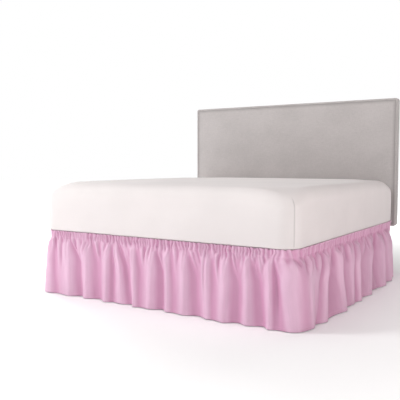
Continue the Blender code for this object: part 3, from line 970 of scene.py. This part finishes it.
def cloth_map(grid):
    """Each point's place on the flat cloth: along it at the hem's own length, and down it."""
    hem = grid[:, -3]
    steps = np.linalg.norm(np.diff(hem, axis=0), axis=1)
    along = np.concatenate([[0.0], np.cumsum(steps)])
    down = np.concatenate([[-0.008, -0.001], row_shares() * SKIRT_DROP,
                           [SKIRT_DROP, SKIRT_DROP + TURN_IN_HEM]])
    return along, down


def add_cloth_map(mesh, along, down):
    layer = mesh.uv_layers.new(name="cloth")
    corners = np.zeros(len(mesh.loops), dtype=np.int32)
    mesh.loops.foreach_get("vertex_index", corners)
    rows = len(down)
    flat = np.stack([along[corners // rows], down[corners % rows]], axis=1)
    layer.data.foreach_set("uv", flat.ravel().astype(np.float32))


# ---------------------------------------------------------------- slabs with rounded corners
def side_points(half, corner, inset, steps, arc_shares):
    """Points of one side and half of each corner beside it: distance along it, and distance out."""
    radius = corner - inset
    turn = np.array(arc_shares[1:]) * math.pi / 4
    bend = half - corner + radius * np.sin(turn)
    bend_out = radius * np.cos(turn)
    straight = np.linspace(-(half - corner), half - corner, steps + 1)
    along = np.concatenate([-bend[::-1], straight, bend])
    return along, np.concatenate([bend_out[::-1], np.full(steps + 1, radius), bend_out])


def slab(half_x, half_y, corner, profile, steps_x, steps_y, arc_shares):
    """A slab about the z axis: rings of points from its underside to its top, then both caps.

    profile holds each ring's inset and height. Gives the points, the faces, the ring length and
    how many faces the sides take.
    """
    rings = []
    for inset, height in profile:
        x, out_y = side_points(half_x, corner, inset, steps_x, arc_shares)
        y, out_x = side_points(half_y, corner, inset, steps_y, arc_shares)
        front = np.stack([x, -(half_y - corner + out_y)], axis=1)[:-1]
        right = np.stack([half_x - corner + out_x, y], axis=1)[:-1]
        ring = np.concatenate([front, right, -front, -right])
        rings.append(np.column_stack([ring, np.full(len(ring), height)]))
    count = len(rings[0])
    here = np.arange(count)
    after = (here + 1) % count
    band = np.stack([here, after, after + count, here + count], axis=1)
    faces = [band + level * count for level in range(len(rings) - 1)]
    side_faces = count * len(faces)
    points = np.concatenate(rings)
    for level, turned in ((0, True), (len(rings) - 1, False)):
        inner, quads = cap(rings[level], level * count, len(points), len(x), len(y))
        points = np.concatenate([points, inner])
        faces.append(quads[:, ::-1] if turned else quads)
    return points, np.concatenate(faces), count, side_faces


def cap(ring, first, fresh, wide, long):
    """Fills a ring with a grid of quads that blends its four sides: the points inside it, the faces.

    first is the number of the ring's first point, and fresh that of the first point inside it.
    """
    count = len(ring)
    front = np.arange(wide)
    right = wide - 1 + np.arange(long)
    back = (wide + long - 2 + np.arange(wide))[::-1]
    left = (2 * wide + long - 3 + np.arange(long))[::-1] % count
    low, high, near, far = ring[front], ring[back], ring[left], ring[right]
    u = ((low[:, 0] - low[0, 0]) / (low[-1, 0] - low[0, 0]))[:, None, None]
    v = ((near[:, 1] - near[0, 1]) / (near[-1, 1] - near[0, 1]))[None, :, None]
    body = (1 - v) * low[:, None] + v * high[:, None] + (1 - u) * near[None] + u * far[None]
    body -= (1 - u) * (1 - v) * low[0] + u * (1 - v) * low[-1]
    body -= (1 - u) * v * high[0] + u * v * high[-1]
    index = np.zeros((wide, long), dtype=int)
    index[:, 0] = first + front
    index[-1, :] = first + right
    index[:, -1] = first + back
    index[0, :] = first + left
    inside = (wide - 2, long - 2)
    index[1:-1, 1:-1] = fresh + np.arange(inside[0] * inside[1]).reshape(inside)
    quads = np.stack([index[:-1, :-1], index[1:, :-1], index[1:, 1:], index[:-1, 1:]], axis=-1)
    return body[1:-1, 1:-1].reshape(-1, 3), quads.reshape(-1, 4)


def arc_profile(inset, height, radius, steps, start, end):
    """Part of a rounded rim: insets and heights on an arc, from one angle to another."""
    angles = np.radians(np.linspace(start, end, steps + 1))
    return [(inset - radius * math.cos(a), height + radius * math.sin(a)) for a in angles]


# ---------------------------------------------------------------- operators, one for each piece
class BEDSKIRT_OT_skirt(bpy.types.Operator):
    """Hangs the gathered skirt round the box spring"""
    bl_idname = "bedskirt.skirt"
    bl_label = "Gathered skirt"

    def execute(self, context):
        settings = context.scene.bed_skirt_cloth
        grid, hollow_shades = skirt_points(settings)
        faces = grid_faces(*grid.shape[:2])
        piece = make_piece("skirt", grid.reshape(-1, 3), faces, skirt_cloth(settings),
                           ["bed_skirt"])
        along, down = cloth_map(grid)
        add_cloth_map(piece.data, along, down)
        # the finish paints shade on the cloth by this number at each point
        paint_points(piece, "hollow_shade", hollow_shades)
        return {"FINISHED"}


class BEDSKIRT_OT_mattress(bpy.types.Operator):
    """Lays the mattress in its fitted sheet on the box spring"""
    bl_idname = "bedskirt.mattress"
    bl_label = "Mattress and fitted sheet"

    def execute(self, context):
        settings = context.scene.bed_skirt_bed
        low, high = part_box("mattress")
        bottom, top = low.z, high.z
        corner = 0.110
        top_round = 0.075
        under_round = 0.007
        profile = [(0.060, bottom), (0.025, bottom)]
        profile += arc_profile(under_round, bottom + under_round, under_round, 5, -90, 0)
        levels = np.linspace(bottom + under_round, top - top_round, 20)[1:-1]
        profile += [(0.0, level) for level in levels]
        profile += arc_profile(top_round, top - top_round, top_round, 12, 0, 90)
        profile += [(0.085, top), (0.095, top)]
        # the points crowd together where the corner seams run
        arc = (0.0, 0.20, 0.38, 0.54, 0.66, 0.74, 0.785, 0.812, 0.828, 0.844, 0.871, 0.92, 1.0)
        points, faces, _, _ = slab(high.x, high.y, corner, profile, 84, 88, arc)
        points, seam = self.shape(points, high.x, high.y, bottom, top, corner, settings)
        piece = make_piece("mattress_in_sheet", points, faces, sheet_cloth(settings),
                           ["mattress"])
        # the finish paints shade along the seams' grooves
        paint_points(piece, "seam", seam)
        return {"FINISHED"}

    @staticmethod
    def shape(points, half_x, half_y, bottom, top, corner, settings):
        """Crowns the top, swells the sides and sews the sheet's corners: the points, and the seams'
        grooves, where the finish paints shade.
        """
        x, y, z = points.T
        level = np.clip((z - bottom) / (top - bottom), 0.0, 1.0)
        crown = (1 - (x / half_x) ** 2) * (1 - (y / half_y) ** 2)
        on_top = smooth((level - 0.9) / 0.1)
        patches = drift(x / 0.30 + 40, y / 0.30 + 40, SHEET_SEED)
        z = z + on_top * crown * (settings.mattress_crown + 0.0015 * patches)
        to_corner = np.hypot(half_x - np.abs(x), half_y - np.abs(y))
        z = z - settings.corner_drop * level * bell(to_corner, 0.16)

        # the way out of the side at each point, which is nothing on the flat top and underside
        from_x = x - np.clip(x, corner - half_x, half_x - corner)
        from_y = y - np.clip(y, corner - half_y, half_y - corner)
        length = np.hypot(from_x, from_y)
        out_x = from_x / np.maximum(length, TINY)
        out_y = from_y / np.maximum(length, TINY)
        along = x * np.abs(out_y) + y * np.abs(out_x)
        waves = drift(along / 0.16 + 60, level * 2.2 + 9, SHEET_SEED + 1)
        swell = (length > TINY) * np.sin(math.pi * level) * (0.0025 + 0.0016 * waves)

        # the sheet's corner seams: each is a groove, which the finish also paints with shade, and the
        # cloth stands up beside it
        angle = np.arctan2(np.abs(from_y), np.maximum(np.abs(from_x), TINY)) - math.pi / 4
        turned = (np.abs(from_x) > TINY) & (np.abs(from_y) > TINY)
        from_seam = np.where(turned, np.abs(angle * corner + SEAM_TURN), 1.0)
        faded = smooth((level - 0.01) / 0.05) * (1 - smooth((level - 0.90) / 0.08))
        groove = bell(from_seam, 0.0030) * faded
        ridge = np.exp(-from_seam / 0.012) * faded
        reach = swell - 0.0036 * groove + 0.0045 * ridge
        return np.stack([x + out_x * reach, y + out_y * reach, z], axis=1), groove


class BEDSKIRT_OT_box_spring(bpy.types.Operator):
    """Covers the box spring in ticking, with welts along its edges and a dust cover below"""
    bl_idname = "bedskirt.box_spring"
    bl_label = "Box spring"

    def execute(self, context):
        settings = context.scene.bed_skirt_bed
        low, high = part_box("box_spring")
        welt = settings.welt_height
        bottom, top = low.z, high.z
        rim = 0.010
        welt_inset = 0.018
        profile = [(0.060, bottom + 0.0010), (0.030, bottom + 0.0006)]
        profile += arc_profile(rim, bottom + rim, rim, 4, -90, 0)
        profile += self.welt_rings(bottom + welt_inset, welt)
        profile += [(0.0, z) for z in np.linspace(bottom + 0.030, top - 0.030, 12)]
        profile += self.welt_rings(top - welt_inset, welt)
        profile += arc_profile(rim, top - rim, rim, 4, 0, 90)
        profile += [(0.030, top - 0.0006), (0.060, top - 0.0006)]
        arc = (0.0, 0.25, 0.5, 0.75, 1.0)
        points, faces, count, side_faces = slab(high.x, high.y, BOX_CORNER, profile, 60, 62, arc)
        points = self.shape(points, bottom, top)
        piece = make_piece("box_spring_in_ticking", points, faces, ticking_cloth(settings),
                           ["box_spring"])
        # the dust cover takes the two lowest bands of faces and the lower of the two caps
        piece.data.materials.append(dust_cover())
        cap_faces = (len(faces) - side_faces) // 2
        marks = np.zeros(len(faces), dtype=np.int32)
        marks[:2 * count] = 1
        marks[side_faces:side_faces + cap_faces] = 1
        piece.data.polygons.foreach_set("material_index", marks)
        return {"FINISHED"}

    @staticmethod
    def welt_rings(level, welt):
        """Rings of a covered cord sewn into the side at one height."""
        radius = 0.0032
        rings = [(0.0, level - 2.2 * radius), (0.0012, level - 1.25 * radius)]
        for angle in np.radians(np.linspace(-90, 90, 7)):
            rings.append((-welt * math.cos(angle) + 0.0004, level + radius * math.sin(angle)))
        return rings + [(0.0012, level + 1.25 * radius), (0.0, level + 2.2 * radius)]

    @staticmethod
    def shape(points, bottom, top):
        """Draws the sides in a little between the welts."""
        x, y, z = points.T
        level = np.clip((z - bottom) / (top - bottom), 0.0, 1.0)
        waves = drift(x / 0.12 + 70, y / 0.12 + 70, PAD_SEED)
        inward = np.sin(math.pi * level) * (0.0016 + 0.0010 * waves)
        scale = 1 - inward / np.maximum(np.hypot(x, y), 0.5)
        return np.stack([x * scale, y * scale, z], axis=1)


class BEDSKIRT_OT_headboard(bpy.types.Operator):
    """Upholsters the headboard, with a welt just inside its edge"""
    bl_idname = "bedskirt.headboard"
    bl_label = "Headboard"

    def execute(self, context):
        settings = context.scene.bed_skirt_bed
        low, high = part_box("headboard")
        half_x = (high.x - low.x) / 2
        half_z = (high.z - low.z) / 2
        middle = (high.z + low.z) / 2
        thick = high.y - low.y
        corner = 0.022
        back_round = 0.006
        front_round = 0.010
        # the profile's heights are distances from the back to the front
        profile = [(0.021, 0.0), (0.012, 0.0)]
        profile += arc_profile(back_round, back_round, back_round, 3, -90, 0)
        profile += [(0.0, depth) for depth in np.linspace(0.012, thick - 0.018, 6)]
        profile += arc_profile(front_round, thick - front_round, front_round, 6, 0, 80)
        profile += [(0.0105, thick - 0.0016)]
        for angle in np.radians(np.linspace(-90, 90, 7)):
            rise = 0.7 * settings.welt_height * math.cos(angle)
            profile.append((0.0135 + 0.0026 * math.sin(angle), thick - 0.0010 + rise))
        profile += [(0.0168, thick - 0.0016), (0.0185, thick), (0.0205, thick + 0.0008)]
        arc = (0.0, 0.34, 0.67, 1.0)
        points, faces, _, _ = slab(half_x, half_z, corner, profile, 90, 48, arc)
        points, line = self.shape(points, half_x, half_z, thick)
        # lay the slab's length along x, its other side up and its front towards the foot
        turned = np.stack([points[:, 0], high.y - points[:, 2], middle + points[:, 1]], axis=1)
        piece = make_piece("headboard_panel", turned, faces, headboard_cloth(settings),
                           ["headboard"])
        # the finish paints a shadow along this line
        paint_points(piece, "welt_shadow", line)
        return {"FINISHED"}

    @staticmethod
    def shape(points, half_x, half_z, thick):
        """Pads the front inside the welt: the points, and the line where the cloth dips by the welt, which
        the finish paints with shadow.
        """
        x, z, depth = points.T
        from_edge = np.minimum(half_x - np.abs(x), half_z - np.abs(z))
        inside = smooth((from_edge - 0.02) / 0.10)
        front = depth > thick - 0.003
        line = front * bell(from_edge - 0.0190, 0.0035)
        waves = drift(x / 0.22 + 90, z / 0.22 + 90, PAD_SEED + 1)
        depth = depth + front * inside * (0.0030 + 0.0012 * waves)
        return np.stack([x, z, depth], axis=1), line


class BEDSKIRT_OT_frame(bpy.types.Operator):
    """Finishes the steel frame, its glides and the headboard's legs"""
    bl_idname = "bedskirt.frame"
    bl_label = "Frame and legs"

    def execute(self, context):
        wood = leg_wood(context.scene.bed_skirt_bed)
        steel = frame_steel()
        plastic = glide_plastic()
        for name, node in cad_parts.items():
            if name.startswith("headboard_leg"):
                material = wood
            elif name.startswith(("rail", "leg", "headboard_bracket")):
                material = steel
            elif name.startswith("glide"):
                material = plastic
            else:
                continue
            for slot in node.material_slots:
                slot.material = material
        return {"FINISHED"}


class BEDSKIRT_OT_stage(bpy.types.Operator):
    """Sets the pale floor, the soft studio light and the camera"""
    bl_idname = "bedskirt.stage"
    bl_label = "Studio"

    def execute(self, context):
        settings = context.scene.bed_skirt_stage
        self.floor(context, settings)
        self.lights(context, settings)
        self.surround(context, settings)
        self.camera(context, settings)
        return {"FINISHED"}

    @staticmethod
    def floor(context, settings):
        bm = bmesh.new()
        bmesh.ops.create_circle(bm, cap_ends=True, radius=30.0, segments=64)
        mesh = bpy.data.meshes.new("studio_floor")
        bm.to_mesh(mesh)
        bm.free()
        mesh.materials.append(studio_floor(settings))
        floor = bpy.data.objects.new("studio_floor", mesh)
        context.scene.collection.objects.link(floor)

    @staticmethod
    def lights(context, settings):
        # name, place, aim, width, share of the set power
        lights = (
            ("key_light", (-5.2, -3.8, 2.0), (0.0, -0.8, 0.3), 1.4, 0.60),
            ("high_light", (-4.2, -4.0, 4.6), (0.0, -0.8, 0.2), 1.4, 1.50),
            ("rim_light", (-5.6, 1.25, 2.0), (0.0, -0.8, 0.3), 1.4, 1.68),
            ("front_light", (2.0, -6.4, 2.0), (0.0, -0.8, 0.3), 1.4, 0.56),
            ("side_light", (6.0, -0.8, 2.0), (0.0, -0.8, 0.3), 1.4, 0.60),
            ("high_side_light", (4.9, -2.6, 4.6), (0.0, -0.8, 0.2), 1.4, 0.45),
            ("top_light", (0.0, -1.0, 4.6), (0.0, -0.6, 0.0), 3.0, 0.50),
            ("back_light", (0.8, 6.0, 2.4), (0.0, 0.8, 0.6), 2.0, 0.80),
        )
        for name, place, aim, width, share in lights:
            light = bpy.data.lights.new(name, "AREA")
            light.shape = "SQUARE"
            light.size = width
            light.energy = settings.light_power * share
            if "side" in name:
                light.color = settings.side_tint
            lamp = bpy.data.objects.new(name, light)
            lamp.location = place
            lamp.rotation_euler = (Vector(aim) - Vector(place)).to_track_quat("-Z", "Y").to_euler()
            context.scene.collection.objects.link(lamp)

    @staticmethod
    def surround(context, settings):
        """A white studio all round, which the camera sees brighter than it lights the bed."""
        world = bpy.data.worlds.new("white studio")
        world.use_nodes = True
        nodes = world.node_tree.nodes
        links = world.node_tree.links
        white = (1.0, 1.0, 1.0, 1.0)
        background = nodes["Background"]
        background.inputs["Color"].default_value = white
        background.inputs["Strength"].default_value = settings.surround
        backdrop = nodes.new("ShaderNodeBackground")
        backdrop.inputs["Color"].default_value = white
        paths = nodes.new("ShaderNodeLightPath")
        pick = nodes.new("ShaderNodeMixShader")
        links.new(paths.outputs["Is Camera Ray"], pick.inputs[0])
        links.new(background.outputs[0], pick.inputs[1])
        links.new(backdrop.outputs[0], pick.inputs[2])
        links.new(pick.outputs[0], nodes["World Output"].inputs[0])
        context.scene.world = world
        context.scene.view_settings.view_transform = "Standard"

    @staticmethod
    def camera(context, settings):
        camera = bpy.data.objects.new("camera", bpy.data.cameras.new("camera"))
        camera.data.sensor_width = 36.0
        camera.data.lens = settings.lens
        camera.location = settings.camera_place
        camera.rotation_euler = (math.pi / 2 - settings.camera_tilt, 0.0, settings.camera_turn)
        context.scene.collection.objects.link(camera)
        context.scene.camera = camera


class BEDSKIRT_PT_panel(bpy.types.Panel):
    """Lists the bed's pieces and their settings"""
    bl_idname = "BEDSKIRT_PT_panel"
    bl_label = "Bed Skirt"
    bl_space_type = "VIEW_3D"
    bl_region_type = "UI"
    bl_category = "Bed Skirt"

    def draw(self, context):
        groups = (
            (context.scene.bed_skirt_cloth, ("bedskirt.skirt",)),
            (context.scene.bed_skirt_bed, ("bedskirt.mattress", "bedskirt.box_spring",
                                           "bedskirt.headboard", "bedskirt.frame")),
            (context.scene.bed_skirt_stage, ("bedskirt.stage",)),
        )
        for settings, buttons in groups:
            box = self.layout.box()
            for name in settings.__annotations__:
                box.prop(settings, name)
            for button in buttons:
                box.operator(button)


CLASSES = (
    SkirtSettings, BedSettings, StageSettings, BEDSKIRT_OT_stage, BEDSKIRT_OT_skirt,
    BEDSKIRT_OT_mattress, BEDSKIRT_OT_box_spring, BEDSKIRT_OT_headboard, BEDSKIRT_OT_frame,
    BEDSKIRT_PT_panel,
)


def register():
    for cls in CLASSES:
        bpy.utils.register_class(cls)
    bpy.types.Scene.bed_skirt_cloth = bpy.props.PointerProperty(type=SkirtSettings)
    bpy.types.Scene.bed_skirt_bed = bpy.props.PointerProperty(type=BedSettings)
    bpy.types.Scene.bed_skirt_stage = bpy.props.PointerProperty(type=StageSettings)


def unregister():
    del bpy.types.Scene.bed_skirt_stage
    del bpy.types.Scene.bed_skirt_bed
    del bpy.types.Scene.bed_skirt_cloth
    for cls in reversed(CLASSES):
        bpy.utils.unregister_class(cls)


def main():
    register()
    bpy.ops.bedskirt.stage()
    bpy.ops.bedskirt.skirt()
    bpy.ops.bedskirt.mattress()
    bpy.ops.bedskirt.box_spring()
    bpy.ops.bedskirt.headboard()
    bpy.ops.bedskirt.frame()


if __name__ == "__main__":
    main()
